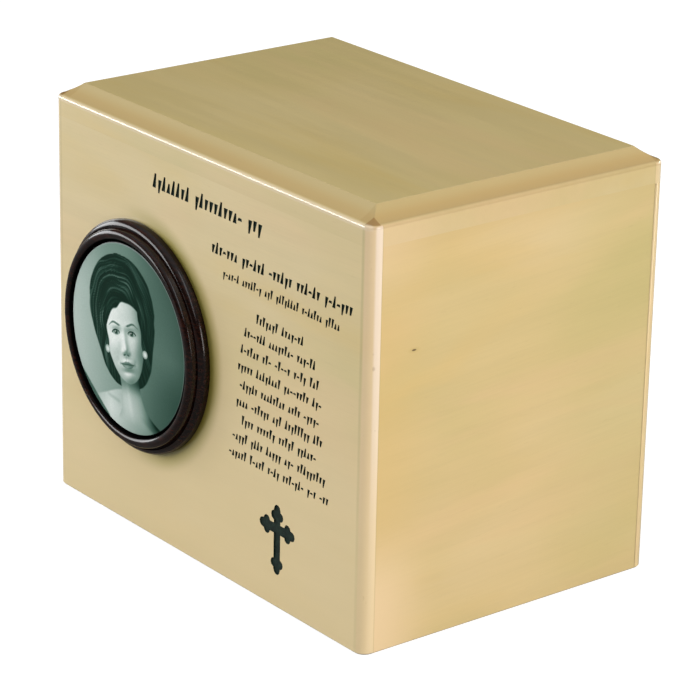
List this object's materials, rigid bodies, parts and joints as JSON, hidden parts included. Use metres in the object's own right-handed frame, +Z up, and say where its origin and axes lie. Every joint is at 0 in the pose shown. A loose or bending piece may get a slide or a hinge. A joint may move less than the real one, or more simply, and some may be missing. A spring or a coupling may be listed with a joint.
{
  "type": "cremation urn box",
  "caption": "Rectangular pale wooden cremation urn box with a moulded top, a base panel screwed on from below, engraved rows and cross, and a round portrait medallion in a dark turned bezel.",
  "frame": {"origin": "middle of the underside of the box, on the base panel's flush lower face", "axes": "+Z up, +X along the box's width to the right of someone who reads the front, -Y out of the front that carries the medallion and the engraving"},
  "size_m": [0.218, 0.1592, 0.184],
  "materials": {
    "pale_wood": "pale close-grained hardwood under a clear satin-gloss lacquer, engraved marks filled dark green-black",
    "dark_wood": "turned hardwood stained near-black mahogany, polished",
    "glazed_portrait": "glazed medallion with a green-toned black and white portrait of a made-up sitter",
    "screw_steel": "zinc-plated steel"
  },
  "bodies": {
    "root": {"front_board": "pale_wood", "back_board": "pale_wood", "left_board": "pale_wood", "right_board": "pale_wood", "top_board": "pale_wood", "base_panel": "pale_wood", "base_screw_1": "screw_steel", "base_screw_2": "screw_steel", "base_screw_3": "screw_steel", "base_screw_4": "screw_steel", "portrait_bezel": "dark_wood", "portrait_medallion": "glazed_portrait"}
  },
  "joints": []
}
